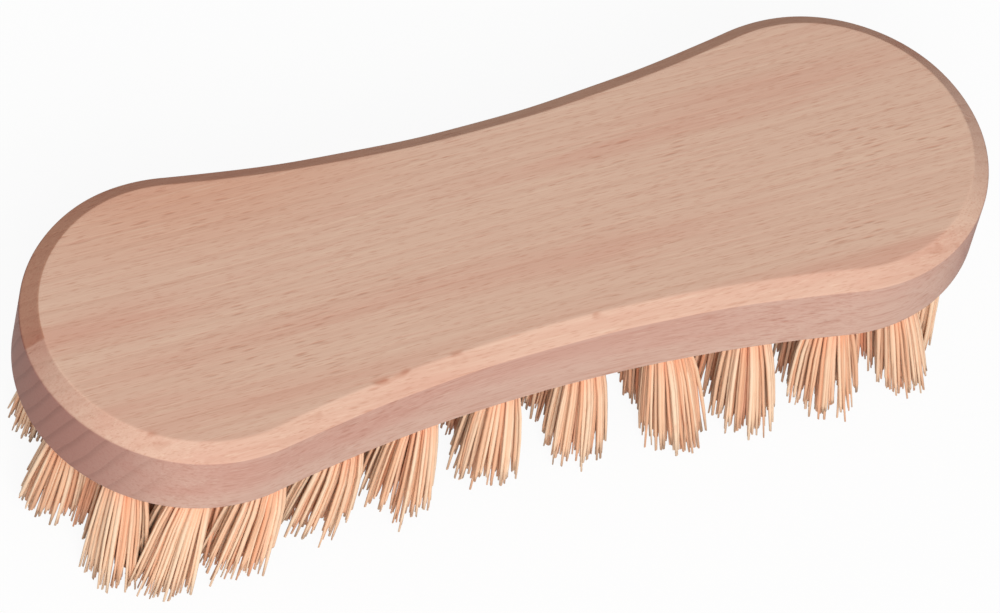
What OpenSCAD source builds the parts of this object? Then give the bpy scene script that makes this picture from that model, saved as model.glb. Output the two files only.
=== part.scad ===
// Hand scrub brush: a waisted beech block, drilled from below and filled with folded fibre tufts.
// Millimetres, +Z up, length along X. The origin is on the plane of the bristle tips, under the middle.

/* [Block] */
// Length of the block over its two round ends
block_l = 210; // [185:1:240]
// Width across each round end
end_w = 70; // [66:1:80]
// Width across the waist, half way along
waist_w = 56.5; // [52:0.5:62]
// Thickness of the block
block_t = 19; // [17:0.5:30]
// Height of the bevel round the top edge
bevel_h = 2.7; // [0.5:0.1:4]
// Width of that bevel, seen from above
bevel_w = 3.7; // [0.5:0.1:6]
// Size of the small bevel round the bottom edge
foot_bevel = 0.6; // [0.2:0.1:1.5]

/* [Holes] */
// Diameter of a tuft hole
hole_d = 6; // [5.8:0.1:6.6]
// Depth of a tuft hole along its axis, without the drill point
hole_depth = 11; // [9:0.5:13]
// Included angle of the drill point
drill_angle = 118; // [90:1:140]
// From the edge of the block to the outer ring of hole mouths
edge_inset = 7.4; // [6:0.1:9]
// Between the outer and the second ring
ring_gap = 10; // [9.5:0.1:11.5]
// Between neighbouring holes along the waist
waist_pitch = 18.2; // [15:0.1:22]
// Between neighbouring holes round the ends, which is rounded to fill them evenly
end_pitch = 15; // [13:0.1:18]
// Between neighbouring holes of the middle row
middle_pitch = 27; // [20:0.5:30]
// Outward lean of the last holes at the ends, along the block, which fades to none at the middle
end_lean_angle = 9; // [0:0.5:15]
// Outward lean of the outer holes at the waist, across the block, which fades in the same way
side_lean_angle = 9; // [0:0.5:15]

/* [Bristles] */
// Height of the block above the bristle tips
tip_drop = 28.5; // [20:0.5:35]
// Diameter of one bristle
bristle_d = 0.78; // [0.5:0.01:0.78]
// Rings of bristles round the middle one in each tuft
bristle_rings = 3; // [2:1:3]
// Radius of a tuft at the tips, where it has fanned out, to the middle of its outer bristles
fanned_r = 7.2; // [5:0.1:8]
// How much shorter than the longest the shortest bristles are
raggedness = 3; // [0:0.1:5]

/* [Anchors] */
// Thickness of the flat anchor wire
anchor_t = 0.4; // [0.3:0.05:0.6]
// Width of the flat anchor wire, along the hole
anchor_w = 2; // [1.5:0.1:3]
// How far each end of an anchor bites into the wall of its hole
anchor_bite = 0.6; // [0.3:0.1:0.8]
// Thickness of the folded fibres over an anchor
fold_t = 1.6; // [1:0.1:2.5]

/* [Fits] */
// Gap all round between a tuft and its hole
tuft_gap = 0.05; // [0.02:0.01:0.1]
// Gap all round an anchor in the block and in its tuft
anchor_gap = 0.02; // [0.01:0.01:0.05]

/* [Hidden] */
$fn = 48;
end_r = end_w / 2;
end_x = block_l / 2 - end_r;
half_waist = waist_w / 2;
// The waist is an arc that meets both round ends without a corner. Its centre lies outside the block.
waist_r = (end_x * end_x + half_waist * half_waist - end_r * end_r) / (2 * (end_r - half_waist));
waist_c = half_waist + waist_r;
join_angle = asin(end_x / (waist_r + end_r));

// Holes beside the waist, measured along the outer ring from the middle of the block
outer_r = waist_r + edge_inset;
waist_step = waist_pitch / outer_r * 180 / PI;
waist_n = floor(join_angle / waist_step + 0.5);
last_angle = (waist_n - 0.5) * waist_step;
// Holes round an end, which fill the arc from the last of those to the tip of the block
end_ring_r = end_r - edge_inset;
end_arc = (join_angle - last_angle) * PI / 180 * outer_r + (90 + join_angle) * PI / 180 * end_ring_r;
end_n = max(2, round(end_arc / end_pitch - 0.5));
end_step = end_arc / (end_n + 0.5) / end_ring_r * 180 / PI;
// Round the ends, the second ring has two holes for every three of the outer ring.
second_share = 2 / 3;
second_n = floor(end_n * second_share);

function waist_hole(inset, k) = let (a = (k - 0.5) * waist_step)
    [(waist_r + inset) * sin(a), (waist_r + inset) * cos(a) - waist_c];
function end_hole(inset, steps) = let (a = (steps - 0.5) * end_step)
    [end_x + (end_r - inset) * cos(a), -(end_r - inset) * sin(a)];

second_inset = edge_inset + ring_gap;
outer_quarter = [
    for (k = [1:waist_n]) waist_hole(edge_inset, k),
    for (j = [end_n:-1:1]) end_hole(edge_inset, j)
];
second_quarter = [
    for (k = [1:waist_n]) waist_hole(second_inset, k),
    for (j = [second_n:-1:1]) end_hole(second_inset, j / second_share)
];
middle_half = [for (x = [middle_pitch / 2:middle_pitch:end_x]) [x, 0]];
halves = concat(
    [for (p = concat(outer_quarter, second_quarter)) each [p, [p[0], -p[1]]]],
    middle_half
);
holes = [for (p = halves) each [p, [-p[0], p[1]]]];

// Every hole leans away from the middle of the block, in proportion to its distance from there.
lean_x = tan(end_lean_angle) / (end_x + end_ring_r);
lean_y = tan(side_lean_angle) / (half_waist - edge_inset);

// One place for a tuft: [x, y, direction in plan that it leans to, lean]
function place_of(p) = let (slant = [lean_x * p[0], lean_y * p[1]])
    [p[0], p[1], atan2(slant[1], slant[0]), atan(norm(slant))];
places = [for (p = holes) place_of(p)];

tuft_names = [for (i = [1:len(places)]) str("tuft_", i < 10 ? "0" : "", i)];

// The waist stands a hair proud of the round ends and runs on inside them, so that the two surfaces
// cross at the joins and the outline has no step. Both sides of the waist overlap along the middle.
proud = 0.03;
overrun = 4;
waist_overlap = 3;
// Swept surfaces start off the main directions, where nothing else ends on them.
seam_turn = 37;

beech = [0.84, 0.70, 0.59];
fibre = [0.92, 0.77, 0.60];
steel = [0.72, 0.73, 0.75];

plug_r = hole_d / 2 - tuft_gap;
// The end of a drill is a cone with a small flat, as wide as its web.
drill_web = 0.4;
point_h = (hole_d - drill_web) / 2 / tan(drill_angle / 2);
// How far a drill is followed out of the block, past the edge of a leaning hole
breakout = 2;
// The fold stops short of the end of the hole, and its shoulder is as steep as the drill point.
plug_top = hole_depth;
shoulder_h = min(point_h, fold_t);
anchor_top = plug_top - shoulder_h - fold_t / 2;
// Width of the flat on top of the fold, as a share of the tuft's
fold_flat = 0.4;
// Inside its hole the tuft is packed solid. Its single bristles start just above the mouth.
loose_start = 0.5;
root = 0.3;
// From the side of the packed tuft to its outer bristles
rim = 0.1;
// Radius of the packed tuft where it leaves its hole, to the middle of its outer bristles
packed_r = plug_r - bristle_d / 2 - rim;
// The bristles stand in hexagonal rings.
corner_angle = 60;
corners = 6;
// The outer bristles reach at least this share of the fanned radius.
least_reach = 0.9;
// One bristle in so many keeps its full length.
full_length_every = 4;
// Any two large steps and a large gain give a scatter without a pattern.
scatter_steps = [127.1, 311.7];
scatter_gain = 43.7585;

// Upright section of the block on one side: reach is how far it runs inwards from the side wall.
module side_section(reach) {
    polygon([
        [0, 0], [reach - foot_bevel, 0], [reach, foot_bevel], [reach, block_t - bevel_h],
        [reach - bevel_w, block_t], [0, block_t]
    ]);
}

// One round end. The seam of the sweep is turned away from the middle of the block.
module round_end() {
    translate([end_x, 0, tip_drop])
        rotate([0, 0, seam_turn])
            rotate_extrude()
                side_section(end_r);
}

// One side of the waist, swept about the centre of its arc and on into both round ends
module waist_side() {
    sweep = join_angle + overrun / waist_r * 180 / PI;
    reach = half_waist + waist_overlap;
    translate([0, -waist_c, tip_drop])
        rotate([0, 0, 90 - sweep])
            rotate_extrude(angle = 2 * sweep)
                translate([waist_r - proud + reach, 0])
                    mirror([1, 0])
                        side_section(reach);
}

// Stands a child at a place, with its +Z running out of the hole towards the bristle tips
module at_place(p) {
    translate([p[0], p[1], tip_drop])
        rotate([0, 0, p[2]])
            rotate([0, 180 - p[3], 0])
                children();
}

// The flat wire of one anchor, with the given gap round it
module anchor(gap) {
    length = hole_d + 2 * anchor_bite + 2 * gap;
    translate([-length / 2, -anchor_t / 2 - gap, -anchor_top - gap])
        cube([length, anchor_t + 2 * gap, anchor_w + 2 * gap]);
}

// A tuft hole with its drill point, and the cuts that the ends of its anchor make in the wall
module hole() {
    rotate([0, 0, seam_turn]) {
        translate([0, 0, -hole_depth])
            cylinder(d = hole_d, h = hole_depth + breakout);
        translate([0, 0, -hole_depth - point_h])
            cylinder(d1 = drill_web, d2 = hole_d, h = point_h);
    }
    anchor(anchor_gap);
}

module brush_block() {
    color(beech)
        difference() {
            union() {
                round_end();
                mirror([1, 0, 0]) round_end();
                waist_side();
                mirror([0, 1, 0]) waist_side();
            }
            for (p = places) at_place(p) hole();
        }
}

module wire_anchors() {
    color(steel)
        for (p = places) at_place(p) anchor(0);
}

// Places of the bristles in a tuft, as fractions of its radius: a middle one and hexagonal rings
function corner(side) = [cos(corner_angle * side), sin(corner_angle * side)];
function ring_spot(n, k) = let (side = floor(k / n), t = (k % n) / n)
    n / bristle_rings * ((1 - t) * corner(side) + t * corner(side + 1));
spots = [[0, 0], for (n = [1:bristle_rings]) for (k = [0:corners * n - 1]) ring_spot(n, k)];

// A repeatable scatter between 0 and 1
function scatter(i, j) = let (s = scatter_gain * sin(i * scatter_steps[0] + j * scatter_steps[1]))
    s - floor(s);

// Height above the tips' plane of a point in a tuft that leans by the given angle
function height_of(q, lean) = tip_drop - q[0] * sin(lean) - q[2] * cos(lean);

// A straight bristle from one point to another
module bristle(from, to) {
    run = to - from;
    translate(from)
        rotate([0, acos(run[2] / norm(run)), atan2(run[1], run[0])])
            rotate([0, 0, seam_turn])
                cylinder(d = bristle_d, h = norm(run));
}

// The bristles fan out from the packed tuft to the plane of the tips, where they are trimmed raggedly.
// A cut end is square to its bristle, so it is lifted until its lowest edge clears that plane.
module fan(index, lean) {
    turn = scatter(index, 0) * corner_angle;
    for (i = [0:len(spots) - 1]) {
        spot = spots[i];
        u = [spot[0] * cos(turn) - spot[1] * sin(turn), spot[0] * sin(turn) + spot[1] * cos(turn)];
        from = [u[0] * packed_r, u[1] * packed_r, -loose_start - root];
        reach = fanned_r * (least_reach + (1 - least_reach) * scatter(index, i + 1));
        to = [u[0] * reach, u[1] * reach, (tip_drop - u[0] * reach * sin(lean)) / cos(lean)];
        run = to - from;
        fall = height_of(from, lean);
        lift = bristle_d / 2 * sqrt(1 - pow(fall / norm(run), 2));
        short = i % full_length_every == 0 ? 0 : raggedness * pow(scatter(index, -i - 1), 2);
        bristle(from, from + run * (1 - (lift + short) / fall));
    }
}

module tuft(index) {
    lean = places[index][3];
    color(fibre)
        at_place(places[index]) {
            difference() {
                rotate_extrude()
                    polygon([
                        [0, -loose_start], [plug_r, -loose_start], [plug_r, -plug_top + shoulder_h],
                        [plug_r * fold_flat, -plug_top], [0, -plug_top]
                    ]);
                anchor(anchor_gap);
            }
            fan(index, lean);
        }
}

brush_block();
wire_anchors();
for (i = [0:len(places) - 1])
    tuft(i);
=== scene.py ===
import math

import bmesh
import bpy
import numpy as np
from mathutils import Matrix, Vector


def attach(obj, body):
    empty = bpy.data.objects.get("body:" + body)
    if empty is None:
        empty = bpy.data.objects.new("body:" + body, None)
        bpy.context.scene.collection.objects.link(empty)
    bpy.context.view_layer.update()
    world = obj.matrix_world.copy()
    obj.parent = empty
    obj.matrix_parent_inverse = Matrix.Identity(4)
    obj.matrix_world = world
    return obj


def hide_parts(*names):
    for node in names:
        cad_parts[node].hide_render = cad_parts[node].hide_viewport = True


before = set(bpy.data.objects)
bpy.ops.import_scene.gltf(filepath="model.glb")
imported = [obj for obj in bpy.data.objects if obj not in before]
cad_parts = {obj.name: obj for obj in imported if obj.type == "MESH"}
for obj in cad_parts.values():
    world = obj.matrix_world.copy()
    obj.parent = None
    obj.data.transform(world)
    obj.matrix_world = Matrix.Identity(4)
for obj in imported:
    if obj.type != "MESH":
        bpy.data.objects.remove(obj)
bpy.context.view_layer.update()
mm = 0.001
print("frame loaded,", len(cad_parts), "nodes")

# The photograph's view, solved from the edges of the block, in degrees and millimetres
photoView = {
    "azimuth": -34.914,
    "elevation": 53.967,
    "roll": 14.382,
    "distance": 1634.247,
    "right": -3.27,  # where the middle of the block's underside lands in camera space
    "down": -9.281,
    "focalPixels": 8000.0,
    "centreX": 16.398,  # from the middle of the picture to the lens axis, in pixels
    "centreY": 19.763,
    "imageWidth": 1000,
    "filmWidth": 36,
    "farthest": 20,  # metres
}

# The block, as in the part's source, in millimetres. Its underside is tipDrop above the plane of the bristle tips.
block = {
    "length": 210.0,
    "endWidth": 70.0,
    "waistWidth": 56.5,
    "thickness": 19.0,
    "bevelHeight": 2.7,
    "bevelWidth": 3.7,
    "footBevel": 0.6,
    "tipDrop": 28.5,
    # how its surface is divided and softened
    "outlineCount": 900,
    "bevelSoftness": 0.3,  # radius of the sanded corners
    "arcSteps": 4,
    "arcShare": 2.2,  # an arc takes no more of the side beside it than its length over this
    "longFlat": 1.2,  # a flat longer than this gets a row of points so close to each of its ends
    "edgeRow": 0.25,
    "topStrip": 1.2,  # a row on the top, this far in from the bevel
    "flatReach": 4.0,  # the top and the underside run in so much further than the bevel, and are closed there
    # the bevel is deeper left of the middle of the front, and wanders as a hand-held cutter does
    "frontBevelExtra": 0.15,
    "frontBevelCentre": -36.0,
    "frontBevelReach": 20.0,
    "bevelSpread": 0.3,  # millimetres wider for each that it is deeper
    "bevelWander": (  # depth of each wave, its length over two pi along X and along Y, and its phase
        (0.10, 9.0, math.inf, 1.0),
        (0.08, 4.3, 7.0, 0.0),
        (0.06, 17.0, -5.0, 2.0),
    ),
    # marks on the bevel's edge, and painted shade on the bevel
    "rimWidth": 0.75,  # of the torn grain beside the top edge
    "rimUpTo": 5.0,  # the torn grain is in front of this Y
    "leftShadeFrom": -82.0,  # painted shade on the left end's bevel starts at this X and is full one fade length further on
    "leftShadeFade": 8.0,
    "leftShadeBehind": 3.5,  # and lies behind this Y
    "backShade": 0.9,  # painted shade: the bevel is dark all along the back, by how much it faces backwards
    "backShadeFrom": 0.1,
    "backShadeFade": 0.5,
    "heightMargin": 0.2,  # what still counts as the bevel, past its two edges
    "widthMargin": 0.1,
}

# The holes and tufts, as in the part's source
tufts = {
    "holeDiameter": 6.0,
    "holeDepth": 11.0,
    "edgeInset": 7.4,
    "ringGap": 10.0,
    "waistPitch": 18.2,
    "endPitch": 15.0,
    "middlePitch": 27.0,
    "secondShare": 2 / 3,  # the second ring has two holes for every three of the outer ring at the ends
    "endLean": 9.0,
    "sideLean": 9.0,
    "fannedRadius": 7.2,
    "packedRadius": 2.6,
    "raggedness": 3.0,
    # the drill
    "drillSides": 24,
    "drillRise": 3.0,  # how far it is followed out of the block
    "drillPoint": 1.7,  # height of its point
    "drillWeb": 0.2,  # radius of the flat at the end of that
    "crispAngle": 40.0,  # the rims of the holes stay sharp
}


def blockLayout():
    # Two round ends at endX from the middle, joined by waist arcs that meet them without a corner:
    # the waist's centre is waistC away from the long axis, and the arcs meet at the angle join.
    endR = block["endWidth"] / 2
    endX = block["length"] / 2 - endR
    halfWaist = block["waistWidth"] / 2
    waistR = (endX**2 + halfWaist**2 - endR**2) / (2 * (endR - halfWaist))
    waistC = halfWaist + waistR
    join = math.asin(endX / (waistR + endR))
    return endR, endX, halfWaist, waistR, waistC, join


def tuftPlaces():
    # Same rule as the source: an outer ring, a second ring and a middle row, each mirrored both ways.
    # A tuft's slant is the tangent of its lean, and grows evenly with its distance from the middle.
    endR, endX, halfWaist, waistR, waistC, join = blockLayout()
    inset, second = tufts["edgeInset"], tufts["edgeInset"] + tufts["ringGap"]
    outerR = waistR + inset
    step = tufts["waistPitch"] / outerR
    waistN = int(join / step + 0.5)
    arc = (join - (waistN - 0.5) * step) * outerR + (math.pi / 2 + join) * (endR - inset)
    endN = max(2, round(arc / tufts["endPitch"] - 0.5))
    endStep = arc / (endN + 0.5) / (endR - inset)
    secondN = int(endN * tufts["secondShare"])

    def waistHole(depth, k):
        a = (k - 0.5) * step
        return (waistR + depth) * math.sin(a), (waistR + depth) * math.cos(a) - waistC

    def endHole(depth, steps):
        a = (steps - 0.5) * endStep
        return endX + (endR - depth) * math.cos(a), -(endR - depth) * math.sin(a)

    quarter = [waistHole(inset, k) for k in range(1, waistN + 1)]
    quarter += [endHole(inset, j) for j in range(endN, 0, -1)]
    quarter += [waistHole(second, k) for k in range(1, waistN + 1)]
    quarter += [endHole(second, j / tufts["secondShare"]) for j in range(secondN, 0, -1)]
    half = [q for x, y in quarter for q in ((x, y), (x, -y))]
    half += [(x, 0.0) for x in np.arange(tufts["middlePitch"] / 2, endX + 1e-6, tufts["middlePitch"])]
    places = np.array([q for x, y in half for q in ((x, y), (-x, y))])
    slantX = math.tan(math.radians(tufts["endLean"])) / (endX + endR - inset)
    slantY = math.tan(math.radians(tufts["sideLean"])) / (halfWaist - inset)
    return places, places * (slantX, slantY)


class Value:
    # A socket with operators: an expression on values adds its Math nodes.
    def __init__(self, nodes, socket):
        self.nodes, self.socket = nodes, socket

    def math(self, operation, *others, clamp=False):
        return self.nodes.add("ShaderNodeMath", {"operation": operation, "use_clamp": clamp}, self, *others)

    def __add__(self, other):
        return self.math("ADD", other)

    def __radd__(self, other):
        return self.math("ADD", other)

    def __sub__(self, other):
        return self.math("SUBTRACT", other)

    def __rsub__(self, other):
        return self.nodes.add("ShaderNodeMath", {"operation": "SUBTRACT"}, other, self)

    def __mul__(self, other):
        return self.math("MULTIPLY", other)

    def __rmul__(self, other):
        return self.math("MULTIPLY", other)

    def clamped(self):
        return self.math("ADD", 0.0, clamp=True)

    def ramp(self, low, high, toLow=0.0, toHigh=1.0):
        # A smooth step from toLow at low to toHigh at high, which may run downwards too
        settings = {"interpolation_type": "SMOOTHSTEP"}
        return self.nodes.add("ShaderNodeMapRange", settings, self, low, high, toLow, toHigh)


class Nodes:
    # The node tree of one material. add() is the one way to any node.
    def __init__(self, name):
        self.material = bpy.data.materials.new(name)
        self.material.use_nodes = True
        self.tree = self.material.node_tree
        self.tree.nodes.clear()
        self.output = self.tree.nodes.new("ShaderNodeOutputMaterial")

    def add(self, kind, settings, *values, out=0, **named):
        node = self.tree.nodes.new(kind)
        for key, setting in settings.items():
            if key == "stops":
                ramp = node.color_ramp
                while len(ramp.elements) > 1:
                    ramp.elements.remove(ramp.elements[-1])
                for i, (at, colour) in enumerate(setting):
                    element = ramp.elements[0] if i == 0 else ramp.elements.new(at)
                    element.position, element.color = at, (*colour, 1)
            else:
                setattr(node, key, setting)
        usable = [s for s in node.inputs if s.enabled]
        pairs = list(zip(usable, values)) + [(node.inputs[k], v) for k, v in named.items()]
        for socket, value in pairs:
            if isinstance(value, Value):
                self.tree.links.new(value.socket, socket)
            elif isinstance(value, tuple) and socket.type == "RGBA":
                socket.default_value = (*value, 1)
            else:
                socket.default_value = value
        outputs = [s for s in node.outputs if s.enabled]
        return Value(self, outputs[out])

    def position(self):
        return self.add("ShaderNodeTexCoord", {}, out=3)  # Object coordinates

    def attribute(self, name):
        return self.add("ShaderNodeAttribute", {"attribute_name": name}, out=2)  # its factor

    def facing(self, axis):
        # How squarely the surface faces along X, Y or Z (0, 1 or 2), on either side
        normal = self.add("ShaderNodeNewGeometry", {}, out=1)
        return self.add("ShaderNodeSeparateXYZ", {}, normal, out=axis).math("ABSOLUTE")

    def vector(self, operation, a, b):
        return self.add("ShaderNodeVectorMath", {"operation": operation}, a, b)

    def mix(self, factor, a, b, blend="MIX"):
        settings = {"data_type": "RGBA", "blend_type": blend, "clamp_factor": True}
        return self.add("ShaderNodeMix", settings, factor, a, b)

    def stretched(self, vector, scale, shift=(0.0, 0.0, 0.0)):
        return self.add("ShaderNodeMapping", {}, Vector=vector, Location=shift, Scale=scale)

    def noise(self, vector, detail, rough=0.5):
        settings = {"noise_dimensions": "3D"}
        return self.add("ShaderNodeTexNoise", settings, Vector=vector, Scale=1.0, Detail=detail, Roughness=rough)

    def dots(self, vector):
        # Distance to the nearest of many scattered points, one in each cell
        return self.add("ShaderNodeTexVoronoi", {"feature": "F1"}, Vector=vector, Scale=1.0, Randomness=1.0)

    def bump(self, height, strength, distance):
        return self.add("ShaderNodeBump", {}, Height=height, Strength=strength, Distance=distance)

    def surface(self, colour, roughness, normal=None, **constants):
        shader = self.tree.nodes.new("ShaderNodeBsdfPrincipled")
        for key, value in constants.items():
            shader.inputs[key.replace("_", " ")].default_value = value
        for key, value in (("Base Color", colour), ("Roughness", roughness), ("Normal", normal)):
            if value is not None:
                self.tree.links.new(value.socket, shader.inputs[key])
        self.tree.links.new(shader.outputs[0], self.output.inputs["Surface"])
        return self.material


def rgb(r, g, b):
    # Colours are written as they are seen, 0 to 255, and turned into linear light here.
    c = np.array([r, g, b]) / 255.0
    return tuple(float(v) for v in np.where(c <= 0.04045, c / 12.92, ((c + 0.055) / 1.055) ** 2.4))


beechLook = {
    "tan": rgb(213, 177, 155),
    "pink": rgb(207, 161, 140),
    "cream": rgb(221, 189, 165),
    "fleck": rgb(172, 108, 82),
    "blush": rgb(206, 152, 126),
    "sideShade": (0.83, 0.80, 0.85),  # painted shade: the side walls are darkened and made a little mauve
    "shadeColour": (0.78, 0.62, 0.55),  # painted shade on the bevel, multiplied in
    # the end grain's own darker colour, made darker still as painted shade on the ends
    "endGrainAndShade": rgb(152, 102, 91),
    "endLine": rgb(116, 72, 62),
    "sway": (0.005, 0.003),  # how far the grain wanders across and upwards, in metres
    "ringSpacing": 3.3,  # millimetres between growth rings
    "ringTilt": 22.0,  # degrees from upright
    "ringWaver": 0.5,  # of that spacing
    "blushPlace": (-0.026, 0.034, 0.047),  # a redder patch towards one corner, long in X
    "blushStretch": (0.45, 1.0, 1.0),
    "blushReach": (0.03, 0.004),
    "relief": 0.35,
    "reliefDepth": 0.0002,
}

# How fine each pattern of the wood is: cells in a metre along the grain, across it and upwards
beechCells = {
    "wander": (6.0, 14.0, 14.0),
    "bands": (5.0, 60.0, 60.0),
    "waver": (2.0, 60.0, 60.0),
    "streaks": (55.0, 2300.0, 2300.0),
    "pores": (240.0, 4200.0, 4200.0),
    "combed": (14.0, 1400.0, 1400.0),
    "rays": (165.0, 1050.0, 800.0),
    "rayPatches": (30.0, 60.0, 60.0),
    "specks": (260.0, 2100.0, 2100.0),
    "tears": (95.0, 160.0, 160.0),
}

# How strongly each pattern is drawn
beechShare = {
    "creamBand": 0.7,
    "blush": 0.75,
    "ring": 0.09,
    "creamStreak": 0.55,
    "pinkStreak": 0.6,
    "pore": 0.3,
    "combed": 0.12,
    "combedSide": 0.18,  # more of it on the side walls
    "ray": 0.4,
    "speck": 0.26,
    "endGrainAndShade": 0.85,
    "endLine": 0.45,
    "tear": 0.65,
}


def beechMaterial():
    n = Nodes("beech")
    look, cells, share = beechLook, beechCells, beechShare
    where = n.position()
    # the grain runs along X and wanders a little
    wander = n.noise(n.stretched(where, cells["wander"]), 1.0) - 0.5
    sway = n.add("ShaderNodeCombineXYZ", {}, 0.0, wander * look["sway"][0], wander * look["sway"][1])
    grain = n.vector("ADD", where, sway)
    endOn = n.facing(0).ramp(0.35, 0.95)
    sideOn = 1.0 - n.facing(2).ramp(0.2, 0.6)
    # broad pink and cream bands
    broad = n.noise(n.stretched(grain, cells["bands"]), 3.0)
    colour = n.mix(broad.ramp(0.3, 0.5), look["pink"], look["tan"])
    colour = n.mix(broad.ramp(0.5, 0.75, 0.0, share["creamBand"]), colour, look["cream"])
    # the redder patch, by distance from its middle
    away = n.vector("DISTANCE", n.stretched(where, look["blushStretch"]), look["blushPlace"])
    colour = n.mix(away.ramp(*look["blushReach"], 0.0, share["blush"]), colour, look["blush"])
    # growth rings: planes tilted off the upright, drawn by distance across them
    tilt = math.radians(look["ringTilt"])
    across = n.vector("DOT_PRODUCT", grain, (0.0, math.cos(tilt), math.sin(tilt)))
    uneven = n.noise(n.stretched(grain, cells["waver"]), 1.0) * look["ringWaver"]
    ring = (across * (1000.0 / look["ringSpacing"]) + uneven).math("FRACT")
    line = ring.ramp(0.55, 0.92) * ring.ramp(1.0, 0.94)
    colour = n.mix(line * share["ring"], colour, look["fleck"])
    # fine streaks, light and dark, then pores and the combed marks of the cutter
    fine = n.noise(n.stretched(grain, cells["streaks"]), 2.0, 0.65)
    colour = n.mix(fine.ramp(0.52, 0.78, 0.0, share["creamStreak"]), colour, look["cream"])
    colour = n.mix(fine.ramp(0.48, 0.22, 0.0, share["pinkStreak"]), colour, look["pink"])
    pores = n.noise(n.stretched(grain, cells["pores"]), 1.0)
    colour = n.mix(pores.ramp(0.56, 0.78, 0.0, share["pore"]), colour, look["fleck"])
    combed = n.noise(n.stretched(grain, cells["combed"], (0.5, 0.2, 0.1)), 2.0, 0.6)
    combedHere = sideOn * share["combedSide"] + share["combed"]
    colour = n.mix(combed.ramp(0.5, 0.72) * combedHere, colour, look["fleck"])
    # short dashes where the rays are cut: one soft dot in each stretched cell, thick in some patches
    patch = n.noise(n.stretched(where, cells["rayPatches"]), 2.0)
    dash = n.dots(n.stretched(grain, cells["rays"])).ramp(0.36, 0.06) * patch.ramp(0.42, 0.66, 0.05, 1.0)
    speck = n.dots(n.stretched(grain, cells["specks"], (0.3, 0.1, 0.7))).ramp(0.34, 0.1)
    colour = n.mix(dash * share["ray"], colour, look["fleck"])
    colour = n.mix(speck * share["speck"], colour, look["fleck"])
    # painted shade on the side walls, and the end grain, which is partly its own colour and partly painted shade
    colour = n.mix(sideOn, colour, look["sideShade"], "MULTIPLY")
    endWood = n.mix(line * share["endLine"], look["endGrainAndShade"], look["endLine"])
    colour = n.mix(endOn * share["endGrainAndShade"], colour, endWood)
    # torn grain along the top edge, and painted shade on the bevel at the left end and along the back
    torn = n.noise(n.stretched(where, cells["tears"]), 2.0, 0.6)
    tear = n.attribute("rim") * torn.ramp(0.58, 0.68)
    colour = n.mix(tear * share["tear"], colour, look["fleck"])
    colour = n.mix(n.attribute("burn"), colour, look["shadeColour"], "MULTIPLY")
    height = fine * 0.5 - dash * 0.6 - line * 0.2 - tear * 1.5
    relief = n.bump(height, look["relief"], look["reliefDepth"])
    return n.surface(colour, 0.7 - fine * 0.1, relief, Specular_IOR_Level=0.3)


fibreLook = {
    "pale": rgb(237, 207, 177),
    "peach": rgb(232, 192, 159),
    "tan": rgb(224, 172, 137),
    "rust": rgb(244, 148, 104),
    "grey": rgb(186, 154, 126),
    "mottleCells": (900.0, 900.0, 160.0),  # in a metre
    "mottleShare": 0.45,
    "rustShare": 0.4,
    "relief": 0.3,
    "reliefDepth": 0.0001,
}


def fibreMaterial():
    n = Nodes("plantFibre")
    stops = [(0.0, fibreLook["tan"]), (0.25, fibreLook["peach"]), (0.7, fibreLook["pale"])]
    colour = n.add("ShaderNodeValToRGB", {"stops": stops}, n.attribute("tone"))
    # mottled along each fibre
    mottle = n.noise(n.stretched(n.position(), fibreLook["mottleCells"]), 3.0, 0.6)
    colour = n.mix(mottle.ramp(0.5, 0.75, 0.0, fibreLook["mottleShare"]), colour, fibreLook["tan"])
    # redder where the tuft leaves its hole, redder deep inside it and in the tufts behind as painted shade, and grey
    # at some of the cut tips
    along = n.attribute("along")
    colour = n.mix(along.ramp(0.42, 0.02, 0.0, fibreLook["rustShare"]), colour, fibreLook["rust"])
    colour = n.mix(n.attribute("heart"), colour, fibreLook["rust"])
    colour = n.mix(along.ramp(0.72, 1.0) * n.attribute("worn"), colour, fibreLook["grey"])
    relief = n.bump(mottle, fibreLook["relief"], fibreLook["reliefDepth"])
    return n.surface(colour, mottle * 0.2 + 0.55, relief, Specular_IOR_Level=0.3)


wireLook = {
    "dark": rgb(150, 152, 156),
    "bright": rgb(196, 198, 202),
    "scratchCells": (900.0, 900.0, 5000.0),  # in a metre
}


def wireMaterial():
    n = Nodes("anchorWire")
    scratches = n.noise(n.stretched(n.position(), wireLook["scratchCells"]), 2.0)
    colour = n.mix(scratches, wireLook["dark"], wireLook["bright"])
    return n.surface(colour, scratches * 0.2 + 0.25, Metallic=1.0)


def newPiece(name, points, quads, material, more=None):
    # A smooth piece of points in millimetres and faces of four corners; more holds faces of another number
    mesh = bpy.data.meshes.new(name)
    points = np.asarray(points, np.float32) * mm
    faces = [np.asarray(f, np.int32) for f in (quads, more) if f is not None]
    sizes = np.concatenate([np.full(len(f), f.shape[1], np.int32) for f in faces])
    corners = np.concatenate([f.ravel() for f in faces])
    mesh.vertices.add(len(points))
    mesh.vertices.foreach_set("co", points.ravel())
    mesh.loops.add(len(corners))
    mesh.loops.foreach_set("vertex_index", corners)
    mesh.polygons.add(len(sizes))
    mesh.polygons.foreach_set("loop_start", np.concatenate([[0], np.cumsum(sizes)[:-1]]).astype(np.int32))
    mesh.polygons.foreach_set("loop_total", sizes)
    mesh.update(calc_edges=True)
    mesh.validate()
    mesh.polygons.foreach_set("use_smooth", np.ones(len(mesh.polygons), bool))
    mesh.materials.append(material)
    piece = bpy.data.objects.new(name, mesh)
    bpy.context.scene.collection.objects.link(piece)
    return piece


def tubeFaces(rows, around, starts=(0,), inward=False):
    # Faces of tubes, each of so many rows of points closed round themselves. starts: the first point of each tube.
    i, j = np.meshgrid(np.arange(rows - 1), np.arange(around), indexing="ij")
    k = (j + 1) % around
    corners = [i * around + j, i * around + k, (i + 1) * around + k, (i + 1) * around + j]
    if inward:
        corners = corners[:1] + corners[:0:-1]
    one = np.stack(corners, -1).reshape(-1, 4)
    return (np.reshape(starts, (-1, 1, 1)) + one).reshape(-1, 4)


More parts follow.
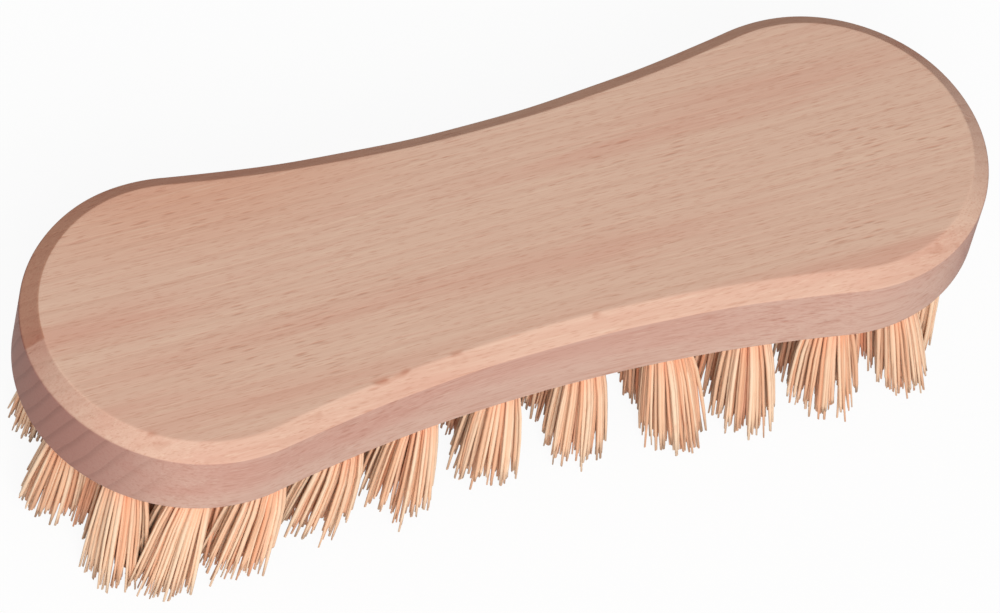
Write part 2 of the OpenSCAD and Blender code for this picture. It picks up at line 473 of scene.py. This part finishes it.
def markPoints(piece, **marks):
    # A number at each point of the piece, for its material to read
    for key, values in marks.items():
        layer = piece.data.attributes.new(key, "FLOAT", "POINT")
        layer.data.foreach_set("value", values.ravel().astype(np.float32))


def outlinePoints(count):
    # A closed outline of four arcs, evenly spaced along its length, and the outward direction at each point.
    # On a waist: x = waistR sin a, y = waistC - waistR cos a. On an end: x = endX + endR cos a, y = endR sin a.
    endR, endX, halfWaist, waistR, waistC, join = blockLayout()
    waistLength, endLength = 2 * join * waistR, (math.pi + 2 * join) * endR
    total = 2 * (waistLength + endLength)
    s = np.arange(count) * total / count
    point, out = np.zeros((count, 2)), np.zeros((count, 2))
    arcs = ((0, "waist", -1), (waistLength, "end", 1), (waistLength + endLength, "waist", 1),
            (2 * waistLength + endLength, "end", -1))
    for start, kind, sign in arcs:
        length = waistLength if kind == "waist" else endLength
        here = (s >= start - 1e-9) & (s < start + length - 1e-9)
        t = (s[here] - start) / length
        if kind == "waist":  # the front waist runs to +X, the back one to -X
            a = (2 * t - 1) * join
            point[here] = np.c_[-sign * waistR * np.sin(a), sign * (waistC - waistR * np.cos(a))]
            out[here] = np.c_[sign * np.sin(a), sign * np.cos(a)]
        else:
            a = -math.pi / 2 - join + t * (math.pi + 2 * join)
            point[here] = np.c_[sign * (endX + endR * np.cos(a)), sign * endR * np.sin(a)]
            out[here] = np.c_[sign * np.cos(a), sign * np.sin(a)]
    return point, out


def roundedSection(corners):
    # Corners (inset, height) from the underside to the top. Each middle corner C becomes a short arc between
    # points P and Q on its sides: at t it is (1 - t)^2 P + 2 t (1 - t) C + t^2 Q.
    path = [np.array(corners[0], float)]
    for before, here, after in zip(corners, corners[1:], corners[2:]):
        before, here, after = (np.array(q, float) for q in (before, here, after))
        a, b = before - here, after - here
        lengthA, lengthB = np.linalg.norm(a), np.linalg.norm(b)
        cut = min(block["bevelSoftness"], lengthA / block["arcShare"], lengthB / block["arcShare"])
        p, q = here + a / lengthA * cut, here + b / lengthB * cut
        for t in np.linspace(0, 1, block["arcSteps"]):
            path.append((1 - t) ** 2 * p + 2 * t * (1 - t) * here + t**2 * q)
    path.append(np.array(corners[-1], float))
    # a row close to each end of a flat keeps the shading of the flat even
    flats = []
    for p, q in zip(path, path[1:]):
        flats.append(p)
        length = np.linalg.norm(q - p)
        if length > block["longFlat"]:
            edge = (q - p) * block["edgeRow"] / length
            flats += [p + edge, q - edge]
    return np.array(flats + [path[-1]])


def blockMesh():
    # The section carried round the outline: each point of the outline is set in by the section's inset, against
    # the outward direction, and raised by its height. The section itself is a blend of a plain and a deeper one.
    point, out = outlinePoints(block["outlineCount"])
    t, foot, wide = block["thickness"], block["footBevel"], block["bevelWidth"]
    low = t - block["bevelHeight"]
    x, y = point[:, 0], point[:, 1]
    front = np.exp(-(((x - block["frontBevelCentre"]) / block["frontBevelReach"]) ** 2)) * (y < 0)
    wander = sum(depth * np.sin(x / alongX + y / alongY + phase)
                 for depth, alongX, alongY, phase in block["bevelWander"])
    deeper = block["frontBevelExtra"] * front + wander
    rows = []
    for extra in (0.0, 1.0):
        width, reach = wide + block["bevelSpread"] * extra, wide + block["flatReach"]
        rows.append(roundedSection([(reach, 0), (foot, 0), (0, foot), (0, low - extra),
                                    (width, t), (width + block["topStrip"], t), (reach, t)]))
    plain, deep = rows
    section = plain[:, None, :] + (deep - plain)[:, None, :] * deeper[None, :, None]
    ring = np.dstack([point[None] - section[:, :, :1] * out[None], block["tipDrop"] + section[:, :, 1]])
    # rim: 1 on the top edge, fading as a bell curve. The painted shade: the stretches of the bevel at the left end and
    # along the back
    fromEdge = np.linalg.norm(plain - np.array([wide, t]), axis=1)
    rim = np.exp(-((fromEdge / block["rimWidth"]) ** 2))[:, None] * (y < block["rimUpTo"])[None]
    onBevel = (plain[:, 1] > low - block["heightMargin"]) & (plain[:, 0] < wide + block["widthMargin"])
    # painted shade: the left end's bevel, which faces away from the lamp
    leftEnd = (x < block["leftShadeFrom"]) & (y > block["leftShadeBehind"])
    leftShaded = leftEnd * np.clip((block["leftShadeFrom"] - x) / block["leftShadeFade"], 0, 1)
    # painted shade: the back bevel, darker the more it faces backwards
    behind = block["backShade"] * np.clip((out[:, 1] - block["backShadeFrom"]) / block["backShadeFade"], 0, 1)
    burn = onBevel[:, None] * np.maximum(leftShaded, behind)[None]
    return ring, rim, burn


def buildBlock(material):
    ring, rim, burn = blockMesh()
    piece = newPiece("beechBlock", ring.reshape(-1, 3), tubeFaces(*ring.shape[:2]), material)
    markPoints(piece, rim=rim, burn=burn)
    # the top and the underside are closed flat
    shell = bmesh.new()
    shell.from_mesh(piece.data)
    bmesh.ops.holes_fill(shell, edges=[e for e in shell.edges if e.is_boundary], sides=0)
    bmesh.ops.recalc_face_normals(shell, faces=shell.faces)
    shell.to_mesh(piece.data)
    shell.free()
    return piece


def tuftFrame(slant):
    # Axis of a tuft out of its hole, straight down plus its slant, and two directions across it
    axis = np.array([slant[0], slant[1], -1.0])
    axis /= np.linalg.norm(axis)
    across = np.cross([0.0, 1.0, 0.0], axis)
    across /= np.linalg.norm(across)
    return axis, across, np.cross(axis, across)


def drillHoles(piece, places, slants):
    # All the holes are one mesh, taken out in one cut. Each is a circle carried along the axis of its tuft:
    # mouth + radius (cos a, sin a) across the axis + z along it, and its last row is the drill point.
    sides, radius, depth = tufts["drillSides"], tufts["holeDiameter"] / 2, tufts["holeDepth"]
    a = np.arange(sides) * 2 * math.pi / sides
    circle = np.c_[np.cos(a), np.sin(a)]
    rows = ((radius, tufts["drillRise"]), (radius, -depth), (tufts["drillWeb"], -depth - tufts["drillPoint"]))
    points = []
    for place, slant in zip(places, slants):
        axis, across, over = tuftFrame(slant)
        mouth = np.r_[place, block["tipDrop"]]
        for r, z in rows:
            points.append(mouth + r * (circle[:, :1] * across + circle[:, 1:] * over) + z * axis)
    starts = np.arange(len(places)) * len(rows) * sides
    firstCaps = starts[:, None] + np.arange(sides)
    lastCaps = (starts[:, None] + (len(rows) - 1) * sides + np.arange(sides))[:, ::-1]
    caps = np.stack([firstCaps, lastCaps], 1).reshape(-1, sides)
    quads = tubeFaces(len(rows), sides, starts, inward=True)
    cutter = newPiece("holeCutter", np.vstack(points), quads, piece.data.materials[0], caps)
    cut = piece.modifiers.new("holes", "BOOLEAN")
    cut.object, cut.operation, cut.solver = cutter, "DIFFERENCE", "EXACT"
    bpy.context.view_layer.update()
    done = piece.evaluated_get(bpy.context.evaluated_depsgraph_get())
    drilled = bpy.data.meshes.new_from_object(done)
    piece.modifiers.clear()
    undrilled, piece.data = piece.data, drilled
    bpy.data.meshes.remove(undrilled)
    bpy.data.objects.remove(cutter)
    drilled.set_sharp_from_angle(angle=math.radians(tufts["crispAngle"]))


# One tuft of fibres, in millimetres. A pair is a range that chance picks from.
fibre = {
    "count": 172,
    "sides": 6,
    "width": 0.9,
    "widthRange": (0.75, 1.2),  # of that
    "flatness": (0.62, 1.0),  # thickness over width
    "widthAtRoot": 1.05,
    "widthLost": 0.5,  # by the tip
    # centre lines
    "stations": (-9.5, -3.0, 0.5, 5.0, 11.0, 17.0, 23.0),  # along the tuft from the mouth of its hole; the tip follows
    "goldenAngle": 2.399963,
    "anyTurn": (0, 6.28),
    "spotScatter": 0.03,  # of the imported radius
    "clumps": 24,  # the fibres cling together towards their tips
    "cling": (0.2, 0.65),
    "fan": (0.85, 1.04),
    "tipScatter": 0.3,
    "flare": 0.5,  # below 1, the fibres spread soonest near the block
    "bend": 0.55,
    "strays": 3,
    "strayBend": 3.5,
    "strayFan": 1.12,
    "shiftBy": 4,  # a tuft's shift is complete after one part in so many of its length
    # trimmed tips
    "trimPower": 1.4,
    "trimShare": 1.4,  # of the raggedness
    "clumpTrim": 2.5,
    "lowestTip": 0.12,
    "lowestRange": 1.2,
    "cutSlant": 0.25,
    "clearance": 0.02,  # above the plane that the brush stands on
    # shades of the fibres, and painted shade deep in the tufts
    "wornShare": 0.85,  # above this, a fibre's tip is grey
    "wornRange": (0.4, 0.9),
    "heartShare": 0.9,
    "heartInner": 0.4,  # more for the tufts behind the outer ring
    "heartMost": 0.8,
    "heartRange": (0.3, 1.0),
    "outerTufts": 28,
}

# How a tuft stands that has no row below
byChance = {
    "lean": 0.02,
    "spread": (0.95, 1.1),
    "longer": (-0.8, 0.4),
}

# How single tufts stand, where the photograph shows them: lean along and across, spread, extra length, shift.
# It doesn't show 25, which leans in so that it stays hidden.
habits = {
    1: (-0.01, 0.0, 1.04, -0.1, 0.67, -0.05), 2: (-0.04, 0.03, 1.11, -0.1, 0.0, 0.06),
    5: (0.07, -0.06, 1.02, 0.8, 0.52, -0.38), 6: (-0.07, 0.02, 1.3, -1.3, -0.16, 0.0),
    9: (-0.02, 0.01, 1.07, 0.9, 0.42, -0.18), 10: (-0.14, 0.12, 1.18, -0.85, 1.3, -0.17),
    13: (-0.03, 0.08, 1.25, -1.4, -0.5, 0.47), 14: (-0.13, 0.08, 1.09, -0.26, 1.3, 0.04),
    17: (0.05, 0.03, 0.84, -0.3, 0.64, 0.04), 18: (-0.08, 0.07, 1.05, 0.5, -0.48, 0.6),
    21: (-0.17, 0.05, 0.8, 0.3, -1.0, -0.3), 22: (0.07, -0.03, 0.95, 1.4, 0.23, -0.1),
    24: (0.2, -0.03, 0.82, -0.6, 0.6, 0.0), 25: (-0.1, 0.03, 0.92, -0.3, -0.6, 0.2),
    26: (0.06, 0.08, 1.0, -1.0, 0.4, 0.26), 28: (0.2, 0.13, 0.88, -0.6, 1.5, 0.8),
    29: (-0.04, -0.01, 0.91, 0.7, 0.14, 0.16), 30: (0.04, -0.01, 0.99, 0.25, 0.28, -0.07),
    33: (0.03, -0.08, 0.9, 0.8, 0.3, -0.07), 34: (-0.01, -0.04, 1.1, 0.8, 0.1, -0.07),
    37: (-0.1, -0.03, 1.09, 0.8, -0.4, 0.34), 38: (-0.06, -0.1, 1.09, 0.8, 0.5, 0.0),
    41: (-0.1, -0.07, 1.15, 0.8, 0.05, 0.13), 42: (-0.1, -0.14, 1.15, 0.9, 0.25, -0.09),
    50: (-0.01, -0.1, 1.09, 0.9, 0.11, 0.04),
}


def sunflower(count, turn):
    # Spots that fill a circle of radius 1 evenly: spot k is the square root of (k + 1/2) / count from the middle,
    # and a golden angle on from the one before.
    k = np.arange(count)
    radius, angle = np.sqrt((k + 0.5) / count), k * fibre["goldenAngle"] + turn
    return radius, np.c_[radius * np.cos(angle), radius * np.sin(angle)]


def fibreLines(rng, index, place, slant):
    # A fibre leaves its packed spot P for its fanned spot F: at share s of the tuft's length it is across the axis by
    # P + (F - P) s^flare + 2 s (1 - s) bend. The axis is the hole's inside the block and the tuft's own below it.
    chance = (rng.normal(0, byChance["lean"]), rng.normal(0, byChance["lean"]),
              rng.uniform(*byChance["spread"]), rng.uniform(*byChance["longer"]), 0.0, 0.0)
    leanX, leanY, spread, longer, shiftX, shiftY = habits.get(index + 1, chance)
    count = fibre["count"]
    axis, across, over = tuftFrame(slant)
    outAxis, outAcross, outOver = tuftFrame(slant + np.array([leanX, leanY]))
    fromMiddle, spot = sunflower(count, rng.uniform(*fibre["anyTurn"]))
    spot = spot + rng.normal(0, fibre["spotScatter"], (count, 2))
    packed = spot * tufts["packedRadius"]
    # a fibre's tip is drawn towards the nearest clump
    clump = sunflower(fibre["clumps"], rng.uniform(*fibre["anyTurn"]))[1]
    nearest = np.argmin(((spot[:, None] - clump[None]) ** 2).sum(-1), 1)
    clung = spot + (clump[nearest] - spot) * rng.uniform(*fibre["cling"], (count, 1))
    fanned = clung * tufts["fannedRadius"] * spread * rng.uniform(*fibre["fan"], (count, 1))
    fanned = fanned + rng.normal(0, fibre["tipScatter"], (count, 2))
    bend = rng.normal(0, fibre["bend"], (count, 2))
    bend[: fibre["strays"]] *= fibre["strayBend"]
    fanned[: fibre["strays"]] *= fibre["strayFan"]
    length = block["tipDrop"] / -outAxis[2]
    stations = np.append(fibre["stations"], length)
    t = np.clip(stations / length, 0, 1)
    shift = np.array([shiftX, shiftY, 0.0])
    centre = np.zeros((count, len(stations), 3))
    for row, (z, s) in enumerate(zip(stations, t)):
        offset = packed + (fanned - packed) * s ** fibre["flare"] + bend * (2 * s * (1 - s))
        if z < 0:
            centre[:, row] = offset[:, :1] * across + offset[:, 1:] * over + z * axis
        else:
            shifted = shift * min(1.0, s * fibre["shiftBy"])
            centre[:, row] = offset[:, :1] * outAcross + offset[:, 1:] * outOver + z * outAxis + shifted
    centre += np.r_[place, block["tipDrop"]]
    # the tips are trimmed near one plane, each clump and each fibre a little shorter
    last = centre[:, -1] - centre[:, -2]
    clumpTrim = rng.uniform(0, 1, fibre["clumps"])[nearest] ** 2 * fibre["clumpTrim"]
    ragged = rng.uniform(0, 1, count) ** fibre["trimPower"] * tufts["raggedness"] * fibre["trimShare"]
    lowest = fibre["lowestTip"] + fibre["lowestRange"] * rng.uniform(0, 1, count) ** 2
    tip = np.maximum(ragged + clumpTrim - longer, lowest)
    centre[:, -1] = centre[:, -2] + last * ((centre[:, -2, 2] - tip) / -last[:, 2])[:, None]
    return centre, t, fromMiddle


def fibreSkins(rng, centre, t):
    # Flat tapering tubes, each turned its own way about its line: at angle a round its centre, the skin is at
    # half the width times (cos a sideways + flatness sin a the other way).
    count, sides = fibre["count"], fibre["sides"]
    run = np.gradient(centre, axis=1)
    run /= np.linalg.norm(run, axis=2, keepdims=True)
    turn = rng.uniform(0, math.pi, (count, 1, 1))
    side = np.cross(run, [0.3, 1.0, 0.1])  # any direction that no fibre runs in
    side /= np.linalg.norm(side, axis=2, keepdims=True)
    other = np.cross(run, side)
    side, other = np.cos(turn) * side + np.sin(turn) * other, np.cos(turn) * other - np.sin(turn) * side
    a = np.arange(sides) * 2 * math.pi / sides
    cosine, sine = np.cos(a)[None, None, :, None], np.sin(a)[None, None, :, None]
    half = fibre["width"] / 2 * rng.uniform(*fibre["widthRange"], (count, 1, 1, 1))
    flat = rng.uniform(*fibre["flatness"], (count, 1, 1, 1))
    taper = (fibre["widthAtRoot"] - fibre["widthLost"] * t**3)[None, :, None, None]
    rings = centre[:, :, None] + half * taper * (cosine * side[:, :, None] + flat * sine * other[:, :, None])
    # a cut tip is slightly slanted and never under the plane that the brush stands on
    rings[:, -1, :, 2] += rng.uniform(-fibre["cutSlant"], fibre["cutSlant"], (count, 1)) * np.cos(a)[None]
    rings[..., 2] = np.maximum(rings[..., 2], fibre["clearance"])
    return rings


def buildTuft(index, place, slant, material, seed):
    rng = np.random.default_rng(seed)
    centre, t, fromMiddle = fibreLines(rng, index, place, slant)
    rings = fibreSkins(rng, centre, t)
    count, rows, sides = rings.shape[:3]
    starts = np.arange(count) * rows * sides
    firstCaps = starts[:, None] + np.arange(sides)[::-1]
    lastCaps = starts[:, None] + (rows - 1) * sides + np.arange(sides)
    caps = np.concatenate([firstCaps, lastCaps])
    quads = tubeFaces(rows, sides, starts)
    piece = newPiece("bristles_%02d" % (index + 1), rings.reshape(-1, 3), quads, material, caps)
    tone = rng.uniform(0, 1, count)
    worn = (rng.uniform(0, 1, count) > fibre["wornShare"]) * rng.uniform(*fibre["wornRange"])
    # painted shade: the fibres deep in a tuft, and in the tufts behind the outer ring, are redder
    inner = fibre["heartInner"] if index >= fibre["outerTufts"] else 0.0
    heart = np.clip((1.0 - fromMiddle) * fibre["heartShare"] + inner, 0, fibre["heartMost"])
    heart = heart * rng.uniform(*fibre["heartRange"], count)
    each = rows * sides
    markPoints(piece, tone=np.repeat(tone, each), along=np.tile(np.repeat(t, sides), count),
               worn=np.repeat(worn, each), heart=np.repeat(heart, each))
    return piece


def buildCamera():
    # The view's back, right and up directions from its azimuth, elevation and roll, and its place from where
    # the middle of the underside is seen: so far right, so far down and so far away
    a, e, r = (math.radians(photoView[k]) for k in ("azimuth", "elevation", "roll"))
    back = Vector((math.sin(a) * math.cos(e), -math.cos(a) * math.cos(e), math.sin(e)))
    right = (-back).cross(Vector((0, 0, 1))).normalized()
    up = right.cross(-back)
    camRight = math.cos(r) * right + math.sin(r) * up
    camUp = -math.sin(r) * right + math.cos(r) * up
    place = -(camRight * photoView["right"] - camUp * photoView["down"] - back * photoView["distance"])
    place += Vector((0, 0, block["tipDrop"]))
    turn = Matrix((camRight, camUp, back)).transposed().to_4x4()
    camera = bpy.data.objects.new("photoCamera", bpy.data.cameras.new("photoCamera"))
    camera.matrix_world = Matrix.Translation(place * mm) @ turn
    camera.data.sensor_width = photoView["filmWidth"]
    camera.data.lens = photoView["focalPixels"] * photoView["filmWidth"] / photoView["imageWidth"]
    camera.data.shift_x = -photoView["centreX"] / photoView["imageWidth"]
    camera.data.shift_y = photoView["centreY"] / photoView["imageWidth"]
    camera.data.clip_end = photoView["farthest"]
    bpy.context.scene.collection.objects.link(camera)
    bpy.context.scene.camera = camera


# The stage, in metres
studio = {
    "floorReach": 6,
    "floorGrey": 0.8,
    "floorWhite": 0.93,  # how much of the floor is seen as plain white; the rest keeps the shadow
    "sky": 0.41,
    "lampPlace": (-0.4, -1.37, 1.36),
    "lampSize": 1.1,
    "lampWatts": 33.0,
    "lampAim": (0, 0, 0.03),
}


def buildStage():
    reach, grey = studio["floorReach"], studio["floorGrey"]
    corners = [(-reach, -reach, 0), (reach, -reach, 0), (reach, reach, 0), (-reach, reach, 0)]
    floorMesh = bpy.data.meshes.new("floor")
    floorMesh.from_pydata(corners, [], [(0, 1, 2, 3)])
    floor = bpy.data.objects.new("floor", floorMesh)
    bpy.context.scene.collection.objects.link(floor)
    n = Nodes("paleFloor")
    camera, glossy, through = (n.add("ShaderNodeLightPath", {}, out=k) for k in (0, 3, 6))
    seen = (camera + glossy + through).clamped()
    matt = n.add("ShaderNodeBsdfDiffuse", {}, (grey, grey, grey))
    white = n.add("ShaderNodeEmission", {}, (1.0, 1.0, 1.0), 1.0)
    mixed = n.add("ShaderNodeMixShader", {}, seen * studio["floorWhite"], matt, white)
    n.tree.links.new(mixed.socket, n.output.inputs["Surface"])
    floorMesh.materials.append(n.material)
    # the sky lights at its own strength and is seen as plain white
    world = bpy.data.worlds.new("studio")
    bpy.context.scene.world = world
    world.use_nodes = True
    tree = world.node_tree
    sky = tree.nodes["Background"]
    sky.inputs[0].default_value = (1, 1, 1, 1)
    path = tree.nodes.new("ShaderNodeLightPath")
    strength = tree.nodes.new("ShaderNodeMapRange")
    tree.links.new(path.outputs["Is Camera Ray"], strength.inputs["Value"])
    strength.inputs["To Min"].default_value = studio["sky"]
    strength.inputs["To Max"].default_value = 1.0
    tree.links.new(strength.outputs["Result"], sky.inputs[1])


def buildLamp():
    data = bpy.data.lights.new("keyLamp", "AREA")
    data.shape, data.size, data.energy = "DISK", studio["lampSize"], studio["lampWatts"]
    lamp = bpy.data.objects.new("keyLamp", data)
    lamp.location = studio["lampPlace"]
    aim = Vector(studio["lampAim"]) - Vector(studio["lampPlace"])
    lamp.rotation_euler = aim.to_track_quat("-Z", "Y").to_euler()
    bpy.context.scene.collection.objects.link(lamp)


bpy.context.scene.view_settings.view_transform = "Standard"
buildCamera()
buildStage()
buildLamp()
print("camera, stage and lamp made")

beech, plantFibre, wire = beechMaterial(), fibreMaterial(), wireMaterial()
places, slants = tuftPlaces()
woodBlock = buildBlock(beech)
drillHoles(woodBlock, places, slants)
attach(woodBlock, "root")
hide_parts("brush_block")
print("block made,", len(woodBlock.data.polygons), "faces")

firstSeed = 100
for index, (place, slant) in enumerate(zip(places, slants)):
    bundle = buildTuft(index, place, slant, plantFibre, firstSeed + index)
    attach(bundle, "root")
    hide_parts("tuft_%02d" % (index + 1))
print("tufts made,", len(places))

# the anchors keep their solids from the part's source
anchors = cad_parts["wire_anchors"]
for slot in anchors.material_slots:
    slot.material = wire
if not anchors.material_slots:
    anchors.data.materials.append(wire)
print("anchors dressed")
